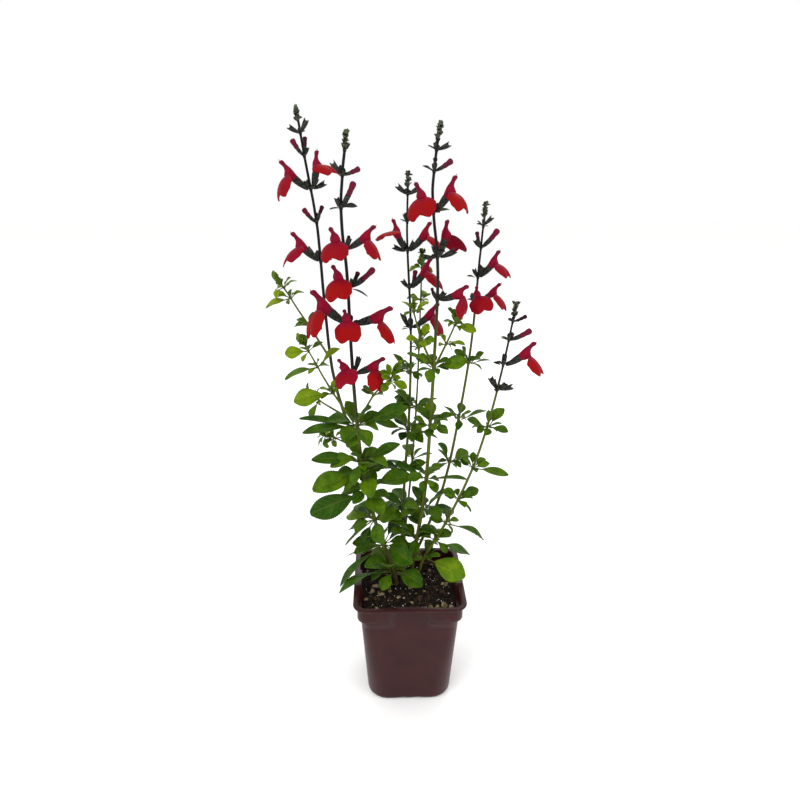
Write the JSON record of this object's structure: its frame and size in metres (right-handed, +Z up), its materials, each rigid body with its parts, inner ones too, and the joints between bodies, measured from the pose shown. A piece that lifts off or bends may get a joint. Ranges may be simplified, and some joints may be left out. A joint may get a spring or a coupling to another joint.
{
  "type": "potted autumn sage",
  "caption": "Young autumn sage in flower: upright square stems with small green leaves, dark buds and red two-lipped flowers, standing in a square dark red-brown nursery pot of dark soil.",
  "frame": {"origin": "centre of the pot's base, on the surface it stands on", "axes": "+Z up along the stems; -Y towards the plant's front; +X to its right"},
  "size_m": [0.1936, 0.0933, 0.4589],
  "materials": {
    "pot": "satin moulded plastic",
    "soil": "loose dark potting mix with white perlite and tan grit",
    "stem": "satin green bark, dark purple towards the top",
    "leaf": "satin green leaf",
    "petal": "velvety red petal"
  },
  "bodies": {
    "root": {"flowers_1_a": "petal", "flowers_1_b": "petal", "flowers_2_a": "petal", "flowers_2_b": "petal", "flowers_2_c": "petal", "flowers_2_d": "petal", "flowers_3_a": "petal", "flowers_3_b": "petal", "flowers_3_c": "petal", "flowers_5_a": "petal", "flowers_5_b": "petal", "flowers_5_c": "petal", "flowers_6_a": "petal", "flowers_6_b": "petal", "flowers_7_a": "petal", "leaves_2_a": "leaf", "leaves_2_b": "leaf", "leaves_2_c": "leaf", "leaves_2_d": "leaf", "leaves_2_e": "leaf", "leaves_2_f": "leaf", "leaves_2_g": "leaf", "leaves_3_a": "leaf", "leaves_3_b": "leaf", "leaves_3_c": "leaf", "leaves_3_d": "leaf", "leaves_3_e": "leaf", "leaves_5_a": "leaf", "leaves_5_b": "leaf", "leaves_5_c": "leaf", "leaves_5_d": "leaf", "leaves_5_e": "leaf", "leaves_6_a": "leaf", "leaves_6_b": "leaf", "leaves_6_c": "leaf", "leaves_7_a": "leaf", "leaves_7_b": "leaf", "leaves_7_c": "leaf", "leaves_7_d": "leaf", "leaves_7_e": "leaf", "leaves_7_f": "leaf", "pot": "pot", "shoot_1_a": "leaf", "shoot_1_b": "leaf", "shoot_1_c": "leaf", "shoot_2_a": "leaf", "shoot_2_b": "leaf", "shoot_5_a": "leaf", "shoot_5_b": "leaf", "soil": "soil", "stem_1": "stem", "stem_2": "stem", "stem_3": "stem", "stem_4": "stem", "stem_5": "stem", "stem_6": "stem", "stem_7": "stem"}
  },
  "joints": []
}
